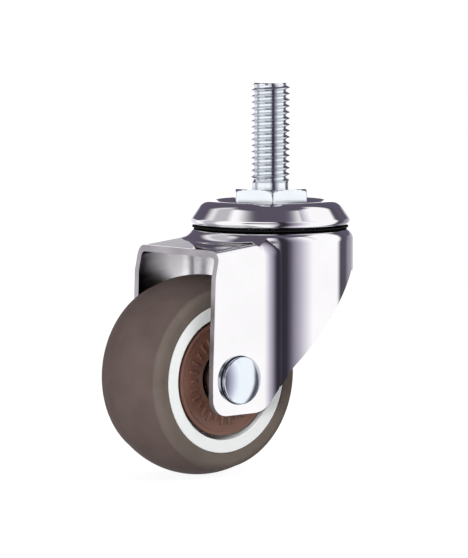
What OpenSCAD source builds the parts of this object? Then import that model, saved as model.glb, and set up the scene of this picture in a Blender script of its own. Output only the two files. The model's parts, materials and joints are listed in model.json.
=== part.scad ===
// Swivel castor: threaded stem, double ball race head, pressed steel fork and a soft-tyred wheel.
// Millimetres. The origin is the centre of the stem's seat, on the swivel axis, and the stem points up (+Z).
// The wheel trails towards -X, and its axle lies along Y.

/* [Stem] */
// Outside diameter of the stem's thread
thread_d = 8; // [7:0.1:9]
// Length of the stem from its seat to its tip
stem_len = 21.3; // [15:0.1:40]
// Chamfer at the stem's tip
tip_chamfer = 0.8; // [0.4:0.1:1.2]
// Distance from one crest of the thread to the next
thread_pitch = 1.25; // [1:0.05:1.5]
// Depth of the thread's grooves
thread_depth = 0.65; // [0.4:0.05:0.8]
// Flat left on each crest of the thread
thread_crest = 0.3; // [0.1:0.05:0.5]
// Plain length of the stem between the seat and the thread
plain_len = 1.5; // [0.8:0.1:3]
// Distance across the flats of the hexagonal collar
hex_af = 14.4; // [12:0.1:17]
// Height of the hexagonal collar
hex_h = 4; // [3:0.1:6]
// Angle the collar is turned about the stem
hex_turn = -7.7; // [-30:0.1:30]
// Diameter of the kingpin below the collar
kingpin_d = 7.6; // [6:0.1:9]
// How far the kingpin's peened end stands out below the lower race
peen_h = 1.4; // [1:0.1:2]

/* [Swivel head] */
// Thickness of the cap's sheet
cap_t = 1; // [0.8:0.05:1.2]
// Height of the cap's crest above the dish that the collar sits in
crest_rise = 1.55; // [1.2:0.05:1.9]
// Free space between the collar's corners and the side of the dish
dish_gap = 1.23; // [0.6:0.05:2]
// Radius of the cap's rolled lip
lip_r = 0.95; // [0.7:0.05:1.1]
// Diameter of the balls of both races
ball_d = 4; // [3.6:0.1:4.4]
// Clearance of a ball in its race
race_gap = 0.05; // [0.03:0.01:0.08]
// Number of balls in the upper race
upper_ball_count = 18; // [12:1:18]
// Number of balls in the lower race
lower_ball_count = 10; // [8:1:10]
// Depth of the upper race pressed into the fork's crown
upper_groove = 0.55; // [0.4:0.05:0.7]
// Depth of the lower race pressed up under the crown
lower_groove = 0.5; // [0.4:0.05:0.7]
// Step from the crown's raised land down to its shoulder
land_step = 0.8; // [0.5:0.05:1]
// Thickness of the dust seal
seal_t = 0.25; // [0.2:0.05:0.6]
// Running gap between the seal and the cap's lip
seal_gap = 0.25; // [0.2:0.05:0.4]
// Thickness of the lower race's cup
cup_t = 1.2; // [0.9:0.05:1.5]
// Clearance between the kingpin and the crown's hole
crown_gap = 0.5; // [0.3:0.05:0.7]

/* [Fork] */
// Thickness of the fork's sheet
sheet = 1.3; // [1:0.05:1.5]
// How far the crown's drum stands out beyond the cap
drum_out = 0.7; // [0.4:0.05:1.5]
// Radius of the rounding at the top of the drum
crown_round = 2.5; // [2:0.1:2.8]
// Distance from the swivel axis to the wheel's axle
trail = 19; // [18:0.1:22]
// Free height between the tyre and the visor
wheel_gap = 4.3; // [3:0.1:7]
// Free width between the tyre and each leg
leg_gap = 2.4; // [1.5:0.1:3]
// How far the visor's front edge lies below the drum's shoulder
visor_drop = 3.15; // [2.6:0.05:4]
// Slope of the visor up to the drum, in degrees
visor_tilt = 6; // [3:0.5:7]
// How far the visor reaches in front of the axle
visor_front = 5.2; // [4:0.1:7]
// Outside radius of the bend between the visor and a leg
bend_r = 2.2; // [1.8:0.1:3]
// Radius of the hollow blend between a leg and the drum
blend_r = 4; // [3:0.1:6]
// Height of the skirt at the back of the drum
skirt_h = 8.5; // [7.5:0.1:10]
// Distance from the swivel axis back to the top of the slanted edge
slant_x = 9.4; // [8:0.1:11]
// Straight part of the legs' front edge below the visor's front corner
front_straight = 1.5; // [1:0.1:3]
// How far the legs come forward of the visor's front edge below that
front_step = 0.8; // [0:0.1:1.2]
// Height over which they come forward
step_h = 3.7; // [2:0.1:6]
// How far a foot reaches in front of the axle
foot_front = 6.7; // [6.2:0.1:8]
// How far a foot reaches below the axle
foot_below = 6.85; // [6.5:0.05:9]
// How far a foot reaches behind the axle
foot_back = 8.6; // [8:0.1:9.5]
// Radius of a foot's front corner
foot_front_r = 3.5; // [2:0.1:5]
// Radius of a foot's back corner
foot_back_r = 4.5; // [3.5:0.1:5]

/* [Axle] */
// Diameter of the axle rivet's shank
rivet_d = 5; // [4:0.1:5.6]
// Diameter of the rivet's domed head
head_d = 9.76; // [8:0.02:11]
// Height of the rivet's domed head
head_h = 2.2; // [1.7:0.1:3]
// Height of the straight side of the rivet's head
head_side = 0.9; // [0.5:0.1:1.2]
// Diameter of the rivet's formed end
end_d = 8; // [6.8:0.1:9]
// Height of the rivet's formed end
end_h = 1.6; // [1.2:0.1:2.4]
// Diameter of the washer under the formed end
washer_d = 10; // [9.2:0.1:12]
// Thickness of the washer under the formed end
washer_t = 0.8; // [0.5:0.05:1.5]
// Clearance between pieces that are fitted together
fit_gap = 0.05; // [0.03:0.01:0.08]

/* [Wheel] */
// Diameter of the wheel over its tyre
wheel_d = 40; // [38:0.1:44]
// Width of the tyre
tyre_w = 18; // [17:0.1:21]
// Thickness of the tyre at its middle
tyre_t = 5.15; // [4:0.05:5.6]
// How far the tread falls from its middle to its shoulders
tread_crown = 1.7; // [0.8:0.05:2]
// Radius of the tyre's shoulders
shoulder_r = 1.8; // [1:0.1:2.2]
// Thickness of the wheel core's rim
rim_t = 2.6; // [2:0.05:3]
// How far the rim's face lies behind the tyre's side
rim_sink = 0.1; // [0.05:0.05:0.5]
// Thickness of the web between the core's rim and hub
web_t = 3.5; // [2.5:0.1:5]
// Wall of the core's hub around a bearing
hub_wall = 1.5; // [1.2:0.05:1.7]

/* [Hub covers] */
// How far a cover's face lies behind the tyre's side
cover_sink = 0.5; // [0.3:0.05:0.9]
// Thickness of a cover
cover_t = 1; // [0.7:0.05:1.4]
// Gap between a cover's edge and the rim
cover_groove = 0.35; // [0.2:0.05:0.6]
// Depth of the collar that holds a cover on the hub
collar_h = 2.5; // [1.5:0.1:3]
// Thickness of that collar
collar_t = 0.9; // [0.6:0.05:1.1]
// Number of raised ribs on a cover
rib_count = 30; // [12:1:36]
// Radius where the raised ribs begin
rib_r = 7.4; // [6.8:0.1:8]
// Length of a raised rib
rib_len = 1.9; // [1:0.1:2.4]
// Width of a raised rib
rib_w = 0.6; // [0.3:0.05:0.8]
// Height of a raised rib
rib_h = 0.25; // [0.15:0.05:0.4]

/* [Wheel bearings] */
// Bore of a wheel bearing
bearing_bore = 8; // [7.6:0.1:8.2]
// Outside diameter of a wheel bearing
bearing_d = 16; // [15.6:0.1:16.6]
// Width of a wheel bearing
bearing_w = 5; // [4.4:0.1:5.4]
// Diameter of a bearing's balls
bearing_ball_d = 2.38; // [2.2:0.01:2.5]
// Number of balls in a bearing
bearing_ball_count = 9; // [7:1:10]
// Radial space between a ring's land and the circle of the balls' centres
land_gap = 0.8; // [0.7:0.05:0.9]
// Width of a bearing's ball cage
cage_w = 3.4; // [3:0.1:3.8]
// Radial thickness of a bearing's ball cage
cage_t = 0.8; // [0.6:0.05:0.9]
// Thickness of a bearing's shields
shield_t = 0.2; // [0.15:0.05:0.3]
// Wall of the spacers on the axle sleeve
spacer_wall = 1.2; // [0.9:0.05:1.25]

/* [Hidden] */
$fn = 96;
// Overlap that joins touching shapes into one
eps = 0.01;
// Reach of cutting shapes beyond what they cut
far = 60;

// Stem and cap
thread_r = thread_d / 2;
thread_end = stem_len - tip_chamfer;
groove_count = floor((thread_end - plain_len) / thread_pitch);
hex_corner_r = hex_af / 2 / cos(30);
floor_z = -hex_h;
race_r = ball_d / 2 + race_gap;
cap_race_out = race_r + cap_t;
upper_z = floor_z + crest_rise - cap_race_out;
cap_lap = 0.08;
flank_run = sqrt(cap_race_out * cap_race_out - (floor_z - upper_z) * (floor_z - upper_z));
upper_r = hex_corner_r + dish_gap + flank_run;

// Crown of the fork: a raised land with the upper race, and a shoulder around it
land_z = upper_z - race_r + upper_groove;
groove_half = sqrt(race_r * race_r - (upper_z - land_z) * (upper_z - land_z));
land_edge = 0.25;
land_r = upper_r + groove_half + land_edge;
shoulder_z = land_z - land_step;
lip_gap = 0.55;
lip_c = land_r + lip_gap + lip_r;
lip_z = shoulder_z + seal_t + seal_gap + lip_r;
cap_r = lip_c + lip_r;
drum_r = cap_r + drum_out;
drum_in = drum_r - sheet;
round_c = drum_r - crown_round;
seal_edge = 0.45;

// Lower race
under_z = land_z - sheet;
lower_z = under_z + lower_groove - race_r;
lower_half = sqrt(race_r * race_r - (under_z - lower_z) * (under_z - lower_z));
crown_hole_r = kingpin_d / 2 + crown_gap;
hole_land = 1.15;
lower_r = crown_hole_r + hole_land + lower_half;
cup_top = lower_z - race_r + lower_groove;
cup_half = sqrt(race_r * race_r - (lower_z - cup_top) * (lower_z - cup_top));
cup_bottom = cup_top - cup_t;
cup_out = race_r + cup_t;
cup_out_half = sqrt(cup_out * cup_out - (lower_z - cup_bottom) * (lower_z - cup_bottom));
cup_rim_up = 0.5;
peen_r = lower_r - cup_out_half - 2 * race_gap;
peen_round = 0.5;

// Axle and legs
visor_z = shoulder_z - visor_drop;
axle_x = -trail;
axle_z = visor_z - sheet - wheel_gap - wheel_d / 2;
leg_in = tyre_w / 2 + leg_gap;
leg_out = leg_in + sheet;
visor_x = axle_x - visor_front;
skirt_z = shoulder_z - skirt_h;
foot_x = axle_x - foot_front;
foot_z = axle_z - foot_below;
knee_x = axle_x + 11.7;
knee_z = axle_z + 1.75;
foot_back_x = axle_x + foot_back - foot_back_r;
foot_back_z = foot_z + foot_back_r;
blend_y = leg_out + blend_r;
blend_x = -sqrt((drum_r + blend_r) * (drum_r + blend_r) - blend_y * blend_y);
shank_r = rivet_d / 2;
end_round = 0.6;

// Wheel
wheel_r = wheel_d / 2;
side_y = tyre_w / 2;
rim_out = wheel_r - tyre_t;
rim_in = rim_out - rim_t;
rim_y = side_y - rim_sink;
rim_chamfer = 0.2;
tread_y = side_y - shoulder_r;
crown_arc = (tread_y * tread_y + tread_crown * tread_crown) / 2 / tread_crown;
cover_y = side_y - cover_sink;
cover_back = cover_y - cover_t;
cover_r = rim_in - cover_groove;
cover_edge = 0.3;
hub_y = cover_back - fit_gap;
bearing_y = hub_y - 0.25;
bearing_back = bearing_y - bearing_w;
bearing_mid = bearing_y - bearing_w / 2;
bearing_r = bearing_d / 2;
bore_r = bearing_bore / 2;
hub_r = bearing_r + fit_gap + hub_wall;
hub_shoulder = 1;
sleeve_r = bore_r - fit_gap;
ball_pitch = (bearing_r + bore_r) / 2;
bearing_groove = bearing_ball_d / 2 + race_gap;
inner_land = ball_pitch - land_gap;
outer_land = ball_pitch + land_gap;
spacer_r = bore_r + spacer_wall;
cover_hole = spacer_r + 0.5;
pocket_gap = 0.08;

// Turns a profile drawn with its axis up so that the axis lies along the axle, towards the near side (-Y)
module on_axle() {
    translate([axle_x, 0, axle_z])
        rotate([90, 0, 0])
            children();
}

// The same for the far side (+Y)
module on_far_side() {
    mirror([0, 1, 0])
        on_axle()
            children();
}

// A plain ring between two radii and two heights
module ring(inner, outer, low, high) {
    translate([0, 0, low])
        difference() {
            cylinder(r = outer, h = high - low);
            translate([0, 0, -eps])
                cylinder(r = inner, h = high - low + 2 * eps);
        }
}

// A circle of balls
module ball_circle(count, pitch, height, r) {
    for (i = [0 : count - 1])
        rotate([0, 0, i * 360 / count])
            translate([pitch, 0, height])
                sphere(r = r);
}

// The thread's grooves as rings: each goes in from a crest to its root and out to the next crest
function grooves() = [
    for (i = [0 : groove_count - 1])
        for (step = [0 : 2])
            [thread_r - (step == 1 ? thread_depth : 0),
             plain_len + i * thread_pitch + step * (thread_pitch - thread_crest) / 2]];

// The stem, its hexagonal collar and the kingpin are one forging, peened over below the lower race
module stem_bolt() {
    color("gainsboro") {
        rotate_extrude()
            polygon(concat(
                [[0, cup_bottom - peen_h / 2], [kingpin_d / 2, cup_bottom - peen_h / 2],
                 [kingpin_d / 2, floor_z / 2], [thread_r, floor_z / 2]],
                grooves(),
                [[thread_r, thread_end], [thread_r - tip_chamfer, stem_len], [0, stem_len]]));
        rotate([0, 0, hex_turn])
            translate([0, 0, floor_z])
                cylinder(r = hex_corner_r, h = hex_h, $fn = 6);
        translate([0, 0, cup_bottom])
            mirror([0, 0, 1])
                rotate_extrude()
                    rounded_disc(peen_r, peen_h, peen_round);
    }
}

// Half section of a disc with its upper edge rounded
module rounded_disc(r, h, round) {
    square([r - round, h]);
    square([r, h - round]);
    translate([r - round, h - round])
        circle(r = round);
}

// The cap is the upper race: a pressed ring with a dished floor and a rolled lip
module cap_ring() {
    run = [lip_c - upper_r, lip_z - upper_z];
    turn = atan2(run[1], run[0]) + acos((cap_race_out - lip_r) / norm(run));
    way = [cos(turn), sin(turn)];
    along = [way[1], -way[0]];
    race_c = [upper_r, upper_z];
    lip_p = [lip_c, lip_z];
    flank = sqrt(race_r * race_r - (upper_z - floor_z + cap_t) * (upper_z - floor_z + cap_t));
    bore = kingpin_d / 2 + fit_gap;
    color("silver")
        rotate_extrude() {
            translate([bore, floor_z - cap_t])
                square([upper_r - flank - bore, cap_t]);
            difference() {
                translate(race_c)
                    circle(r = cap_race_out);
                translate(race_c)
                    circle(r = race_r);
                translate([0, floor_z - cap_t - far])
                    square([upper_r, far]);
                polygon([race_c, race_c - [0, far], race_c + far * along, race_c + far * way]);
            }
            polygon([race_c + (race_r + cap_lap) * way - cap_t / 2 * along,
                     lip_p + (lip_r - cap_t) * way, lip_p + (lip_r - eps) * way,
                     race_c + (cap_race_out - cap_lap) * way - cap_t / 2 * along]);
            translate(lip_p)
                circle(r = lip_r);
        }
}

// Black ring that closes the gap between the cap and the fork
module dust_seal() {
    color("black")
        ring(land_r + 2 * fit_gap, cap_r - seal_edge, shoulder_z, shoulder_z + seal_t);
}

module upper_balls() {
    color("lightgray")
        ball_circle(upper_ball_count, upper_r, upper_z, ball_d / 2);
}

module lower_balls() {
    color("lightgray")
        ball_circle(lower_ball_count, lower_r, lower_z, ball_d / 2);
}

// The lower race is a pressed cup, clamped on the kingpin by its peened end
module lower_race_cup() {
    color("gray")
        rotate_extrude()
            difference() {
                union() {
                    translate([kingpin_d / 2 + fit_gap, cup_bottom])
                        square([lower_r - kingpin_d / 2 - fit_gap, cup_t]);
                    translate([lower_r, lower_z])
                        circle(r = cup_out);
                    translate([lower_r, lower_z - eps])
                        square([cup_out, cup_rim_up + eps]);
                }
                translate([lower_r, lower_z])
                    circle(r = race_r);
                translate([0, cup_top])
                    square([lower_r, far]);
                translate([lower_r, lower_z])
                    square([race_r, far]);
                translate([0, lower_z + cup_rim_up])
                    square([far, far]);
                square([2 * (kingpin_d / 2 + fit_gap), far], center = true);
            }
}

// Plan of the hollow blends between the legs and the drum
module blend_plan(radius, drum, leg) {
    for (side = [-1, 1])
        difference() {
            polygon([[blend_x, side * (leg - 1)], [blend_x, side * blend_y],
                     [blend_x, side * blend_y] * drum / (drum_r + blend_r), [blend_x + blend_r, side * (leg - 1)]]);
            translate([blend_x, side * blend_y])
                circle(r = radius);
        }
}

// Visor and legs as one box with its long upper edges rounded and its top sloping down to the front
module visor_box(half, inset, round) {
    translate([visor_x, 0, visor_z])
        rotate([0, -visor_tilt, 0])
            translate([-far / 2, 0, -inset])
                rotate([90, 0, 90])
                    linear_extrude(height = far / 2 - visor_x) {
                        translate([-half, -far])
                            square([2 * half, far - round]);
                        translate([round - half, -far])
                            square([2 * (half - round), far]);
                        for (side = [-1, 1])
                            translate([side * (half - round), -round])
                                circle(r = round);
                    }
}

// Everything within the fork's outer faces, before its side outline is cut
module fork_outside() {
    visor_box(leg_out, 0, bend_r);
    translate([0, 0, -far])
        linear_extrude(height = far + shoulder_z - crown_round)
            blend_plan(blend_r, drum_r, leg_out);
    rotate_extrude() {
        translate([0, -far])
            square([drum_r, far + shoulder_z - crown_round]);
        translate([0, -far])
            square([round_c, far + shoulder_z]);
        translate([round_c, shoulder_z - crown_round])
            circle(r = crown_round);
        translate([0, -far])
            square([land_r, far + land_z]);
    }
}

// The space inside the fork
module fork_inside() {
    visor_box(leg_in, sheet, bend_r - sheet);
    translate([0, 0, -far])
        linear_extrude(height = far + shoulder_z - crown_round)
            blend_plan(blend_r + sheet, drum_in, leg_in);
    rotate_extrude() {
        translate([0, -far])
            square([drum_in, far + shoulder_z - crown_round]);
        translate([0, -far])
            square([round_c, far + shoulder_z - sheet]);
        translate([round_c, shoulder_z - crown_round])
            circle(r = crown_round - sheet);
        translate([0, -far])
            square([land_r - sheet, far + under_z]);
    }
}

// Side view of the fork, seen along the axle
module side_outline() {
    to_foot = [foot_back_x - knee_x, foot_back_z - knee_z];
    turn = atan2(to_foot[1], to_foot[0]) + asin(foot_back_r / norm(to_foot));
    touch = [foot_back_x, foot_back_z] + foot_back_r * [-sin(turn), cos(turn)];
    step_z = visor_z - front_straight;
    polygon([[visor_x, 0], [visor_x, step_z], [visor_x - front_step, step_z - step_h],
             [foot_x, axle_z], [foot_x, foot_z + foot_front_r],
             [foot_x + foot_front_r, foot_z + foot_front_r], [foot_x + foot_front_r, foot_z],
             [foot_back_x, foot_z], [foot_back_x, foot_back_z], touch, [knee_x, knee_z],
             [slant_x, skirt_z], [drum_r + 1, skirt_z], [drum_r + 1, 0]]);
    translate([foot_x + foot_front_r, foot_z + foot_front_r])
        circle(r = foot_front_r);
    translate([foot_back_x, foot_back_z])
        circle(r = foot_back_r);
}

// The fork is one pressed sheet: crown with both races, visor, two legs and the skirt at the back
module fork() {
    color("silver")
        difference() {
            union() {
                difference() {
                    intersection() {
                        fork_outside();
                        translate([0, far / 2, 0])
                            rotate([90, 0, 0])
                                linear_extrude(height = far)
                                    side_outline();
                    }
                    fork_inside();
                }
                rotate_extrude() {
                    intersection() {
                        translate([upper_r, upper_z])
                            circle(r = race_r + sheet);
                        translate([0, (shoulder_z + under_z) / 2 - far])
                            square([far, far]);
                    }
                    intersection() {
                        translate([lower_r, lower_z])
                            circle(r = race_r + sheet);
                        translate([0, under_z + sheet / 2])
                            square([far, far]);
                    }
                }
            }
            rotate_extrude() {
                translate([upper_r, upper_z])
                    circle(r = race_r);
                translate([lower_r, lower_z])
                    circle(r = race_r);
            }
            translate([0, 0, -far / 2])
                cylinder(r = crown_hole_r, h = far);
            on_axle()
                translate([0, 0, -far / 2])
                    cylinder(r = shank_r + fit_gap, h = far);
        }
}

// Solid rivet: domed head on the near side, shank through both legs, formed end over a washer on the far side
module axle_rivet() {
    dome_h = head_h - head_side;
    dome_r = (head_d * head_d / 4 + dome_h * dome_h) / 2 / dome_h;
    color("lightsteelblue")
        on_axle() {
            translate([0, 0, -leg_out - washer_t])
                cylinder(r = shank_r, h = 2 * leg_out + washer_t);
            translate([0, 0, leg_out])
                rotate_extrude() {
                    square([head_d / 2, head_side]);
                    intersection() {
                        translate([0, head_h - dome_r])
                            circle(r = dome_r);
                        square([head_d / 2, head_h]);
                    }
                }
            translate([0, 0, -leg_out - washer_t])
                mirror([0, 0, 1])
                    rotate_extrude()
                        rounded_disc(end_d / 2, end_h, end_round);
        }
}

module rivet_washer() {
    color("silver")
        on_axle()
            ring(shank_r + fit_gap, washer_d / 2, -leg_out - washer_t, -leg_out);
}

// Tube between the legs that the rivet clamps and that carries both bearings
module axle_sleeve() {
    color("gray")
        on_axle()
            ring(shank_r + fit_gap, sleeve_r, -leg_in, leg_in);
}

module side_spacer() {
    color("gray")
        ring(bore_r, spacer_r, bearing_y, leg_in);
}

module side_spacer_near() {
    on_axle()
        side_spacer();
}

module side_spacer_far() {
    on_far_side()
        side_spacer();
}

module centre_spacer() {
    color("gray")
        on_axle()
            ring(bore_r, spacer_r, -bearing_back, bearing_back);
}

// Inner and outer rings of a deep groove ball bearing, each with its ball race
module inner_ring() {
    color("lightgray")
        difference() {
            ring(bore_r, inner_land, bearing_back, bearing_y);
            ball_race();
        }
}

module outer_ring() {
    color("lightgray")
        difference() {
            ring(outer_land, bearing_r, bearing_back, bearing_y);
            ball_race();
        }
}

module ball_race() {
    rotate_extrude()
        translate([ball_pitch, bearing_mid])
            circle(r = bearing_groove);
}

module bearing_balls() {
    color("lightgray")
        ball_circle(bearing_ball_count, ball_pitch, bearing_mid, bearing_ball_d / 2);
}

module ball_cage() {
    color("darkgray")
        difference() {
            ring(ball_pitch - cage_t / 2, ball_pitch + cage_t / 2,
                 bearing_mid - cage_w / 2, bearing_mid + cage_w / 2);
            for (i = [0 : bearing_ball_count - 1])
                rotate([0, 0, i * 360 / bearing_ball_count])
                    translate([ball_pitch - cage_t, 0, bearing_mid])
                        rotate([0, 90, 0])
                            cylinder(r = bearing_ball_d / 2 + pocket_gap, h = 2 * cage_t);
        }
}

// Two thin discs held by the outer ring, one at each face of the bearing
module bearing_shields() {
    color("silver")
        for (low = [bearing_back, bearing_y - shield_t])
            ring(inner_land + 3 * fit_gap, outer_land - fit_gap / 2, low, low + shield_t);
}

module inner_ring_near() {
    on_axle()
        inner_ring();
}

module inner_ring_far() {
    on_far_side()
        inner_ring();
}

module outer_ring_near() {
    on_axle()
        outer_ring();
}

module outer_ring_far() {
    on_far_side()
        outer_ring();
}

module bearing_balls_near() {
    on_axle()
        bearing_balls();
}

module bearing_balls_far() {
    on_far_side()
        bearing_balls();
}

module ball_cage_near() {
    on_axle()
        ball_cage();
}

module ball_cage_far() {
    on_far_side()
        ball_cage();
}

module bearing_shields_near() {
    on_axle()
        bearing_shields();
}

module bearing_shields_far() {
    on_far_side()
        bearing_shields();
}

// Half of the core's section on one side of the web, run from its bore to its outside or back
function core_half(side) =
    let (steps = [[bearing_r - hub_shoulder, 0], [bearing_r - hub_shoulder, bearing_back],
                  [hub_r - hub_wall, bearing_back], [hub_r - hub_wall, hub_y], [hub_r, hub_y],
                  [hub_r, web_t / 2], [rim_in, web_t / 2], [rim_in, rim_y - rim_chamfer],
                  [rim_in + rim_chamfer, rim_y], [rim_out - rim_chamfer, rim_y],
                  [rim_out, rim_y - rim_chamfer]])
    side > 0 ? steps : [for (i = [len(steps) - 1 : -1 : 1]) [steps[i][0], -steps[i][1]]];

// Moulded core: rim under the tyre, web, and a hub with a seat for each bearing
module wheel_core() {
    color("white")
        on_axle()
            rotate_extrude()
                polygon(concat(core_half(1), core_half(-1)));
}

// Soft tyre: crowned tread, rounded shoulders and flat sides
module tyre() {
    side_r = wheel_r - tread_crown - shoulder_r;
    color("dimgray")
        on_axle()
            rotate_extrude()
                difference() {
                    union() {
                        translate([rim_out, -side_y])
                            square([side_r - rim_out, 2 * side_y]);
                        intersection() {
                            translate([wheel_r - crown_arc, 0])
                                circle(r = crown_arc);
                            translate([rim_out, -tread_y])
                                square([far, 2 * tread_y]);
                        }
                        for (side = [-1, 1])
                            translate([side_r, side * tread_y])
                                circle(r = shoulder_r);
                    }
                    translate([0, -far / 2])
                        square([rim_out + fit_gap, far]);
                }
}

// Cover that hides a bearing: disc with raised ribs on its face and a collar that grips the hub
module hub_cover() {
    color("saddlebrown") {
        rotate_extrude() {
            translate([cover_hole, cover_back])
                square([cover_r - cover_edge - cover_hole, cover_t]);
            translate([cover_hole, cover_back])
                square([cover_r - cover_hole, cover_t - cover_edge]);
            translate([cover_r - cover_edge, cover_y - cover_edge])
                circle(r = cover_edge);
            translate([hub_r + fit_gap, cover_back - collar_h])
                square([collar_t, collar_h + eps]);
        }
        for (i = [0 : rib_count - 1])
            rotate([0, 0, i * 360 / rib_count])
                translate([rib_r, -rib_w / 2, cover_y - eps])
                    cube([rib_len, rib_w, rib_h + eps]);
    }
}

module hub_cover_near() {
    on_axle()
        hub_cover();
}

module hub_cover_far() {
    on_far_side()
        hub_cover();
}

stem_bolt();
cap_ring();
upper_balls();
dust_seal();
fork();
lower_balls();
lower_race_cup();
axle_rivet();
rivet_washer();
axle_sleeve();
side_spacer_near();
side_spacer_far();
centre_spacer();
inner_ring_near();
inner_ring_far();
outer_ring_near();
outer_ring_far();
bearing_balls_near();
bearing_balls_far();
ball_cage_near();
ball_cage_far();
bearing_shields_near();
bearing_shields_far();
wheel_core();
tyre();
hub_cover_near();
hub_cover_far();
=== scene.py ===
# Swivel castor: materials, finely modelled pieces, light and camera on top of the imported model
import json
import math

import bpy
import numpy as np
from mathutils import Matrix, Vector


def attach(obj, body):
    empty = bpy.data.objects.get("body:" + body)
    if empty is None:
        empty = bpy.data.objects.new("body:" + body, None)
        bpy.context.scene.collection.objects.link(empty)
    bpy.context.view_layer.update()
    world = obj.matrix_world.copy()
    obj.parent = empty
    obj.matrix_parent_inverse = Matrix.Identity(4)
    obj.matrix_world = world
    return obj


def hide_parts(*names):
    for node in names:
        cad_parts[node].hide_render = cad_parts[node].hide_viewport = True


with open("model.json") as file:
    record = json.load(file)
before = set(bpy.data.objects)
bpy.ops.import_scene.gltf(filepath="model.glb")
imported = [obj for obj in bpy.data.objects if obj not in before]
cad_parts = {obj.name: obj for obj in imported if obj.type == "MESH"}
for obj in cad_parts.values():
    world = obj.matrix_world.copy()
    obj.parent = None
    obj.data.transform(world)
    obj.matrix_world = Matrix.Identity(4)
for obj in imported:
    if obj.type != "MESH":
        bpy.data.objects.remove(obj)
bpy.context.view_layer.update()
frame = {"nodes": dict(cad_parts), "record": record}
NODES = frame["nodes"]
SLOTS = {part["node"]: part["material_slot"] for part in frame["record"]["subparts"]}
MM = 0.001

# Sizes in millimetres, with hex_turn in degrees and visor_tilt in radians. All but thread_depth, blend_r and
# cover_groove are those of the part's source
thread_r, thread_depth, pitch, stem_len, tip_chamfer = 4.0, 0.72, 1.25, 21.3, 0.8
hex_af, hex_h, hex_turn = 14.4, 4.0, -7.7
kingpin_r, peen_h, peen_gap = 3.8, 1.4, 0.1
cap_t, crest_rise, dish_gap, lip_r, lip_gap = 1.0, 1.55, 1.23, 0.95, 0.55
race_r, upper_groove, lower_groove, cup_t = 2.05, 0.55, 0.5, 1.2
land_edge, land_step, seal_room, crown_gap, hole_land = 0.25, 0.8, 0.5, 0.5, 1.15
sheet, drum_out, crown_round = 1.3, 0.7, 2.5
trail, wheel_gap, leg_gap = 19.0, 4.3, 2.4
visor_drop, visor_tilt, visor_front, bend_r, blend_r = 3.15, math.radians(6), 5.2, 2.2, 8.0
skirt_h, slant_x, front_straight, front_step, step_h = 8.5, 9.4, 1.5, 0.8, 3.7
knee_back, knee_up = 11.7, 1.75
foot_front, foot_below, foot_back, foot_front_r, foot_back_r = 6.7, 6.85, 8.6, 3.5, 4.5
shank_r, head_r, head_h, head_side, end_r, end_h, washer_r, washer_t = 2.5, 4.88, 2.2, 0.9, 4.0, 1.6, 5.0, 0.8
fit_gap = 0.05
wheel_r, tyre_w, tyre_t, tread_crown, shoulder_r = 20.0, 18.0, 5.15, 1.7, 1.8
rim_t, rim_sink, web_t, hub_wall, hub_shoulder = 2.6, 0.1, 3.5, 1.5, 1.0
cover_sink, cover_t, cover_groove, cover_gap, collar_h, collar_t = 0.5, 1.0, 0.77, 0.5, 2.5, 0.9
rib_count, rib_r, rib_len, rib_w, rib_h = 30, 7.4, 1.9, 0.6, 0.25
bearing_bore_r, bearing_r, bearing_w, bearing_sink, spacer_wall = 4.0, 8.0, 5.0, 0.25, 1.2

# Sizes that only this model has
neck_r, neck_h, plug_h = 3.72, 1.15, 1.5
visor_fillet, leg_fillet, fillet_fade = 0.9, 1.2, 4.0
bead, bead_h = 0.2, 0.15
line_w, line_foot, line_h, rib_root, rib_chamfer = 0.75, 0.95, 0.12, 0.15, 0.1

# Values that follow from them. Names that end in r are radii, those in y distances from the wheel's middle
hex_corner = hex_af / 2 / math.cos(math.radians(30))
cap_out = race_r + cap_t
floor_z = -hex_h
upper_z = floor_z + crest_rise - cap_out
upper_r = hex_corner + dish_gap + math.sqrt(cap_out ** 2 - (floor_z - upper_z) ** 2)
land_z = upper_z - race_r + upper_groove
land_r = upper_r + math.sqrt(race_r ** 2 - (upper_z - land_z) ** 2) + land_edge
shoulder_z = land_z - land_step
lip_c = land_r + lip_gap + lip_r
lip_z = shoulder_z + seal_room + lip_r
drum_r = lip_c + lip_r + drum_out
drum_in = drum_r - sheet
under_z = land_z - sheet
lower_z = under_z + lower_groove - race_r
crown_hole = kingpin_r + crown_gap
lower_r = crown_hole + hole_land + math.sqrt(race_r ** 2 - (under_z - lower_z) ** 2)
cup_bottom = lower_z - race_r + lower_groove - cup_t
cup_out = race_r + cup_t
peen_r = lower_r - math.sqrt(cup_out ** 2 - (lower_z - cup_bottom) ** 2) - peen_gap
visor_z = shoulder_z - visor_drop
axle_x = -trail
axle_z = visor_z - sheet - wheel_gap - wheel_r
side_y = tyre_w / 2
leg_in = side_y + leg_gap
leg_out = leg_in + sheet
visor_x = axle_x - visor_front
skirt_z = shoulder_z - skirt_h
foot_x = axle_x - foot_front
foot_z = axle_z - foot_below
blend_y = leg_out + blend_r
blend_x = -math.sqrt((drum_r + blend_r) ** 2 - blend_y ** 2)
rim_out = wheel_r - tyre_t
rim_in = rim_out - rim_t
rim_y = side_y - rim_sink
cover_y = side_y - cover_sink
cover_back = cover_y - cover_t
hub_y = cover_back - fit_gap
seat_r = bearing_r + fit_gap
hub_r = seat_r + hub_wall
bearing_y = hub_y - bearing_sink
bearing_back = bearing_y - bearing_w
spacer_r = bearing_bore_r + spacer_wall
cover_hole = spacer_r + cover_gap


# Materials

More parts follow.
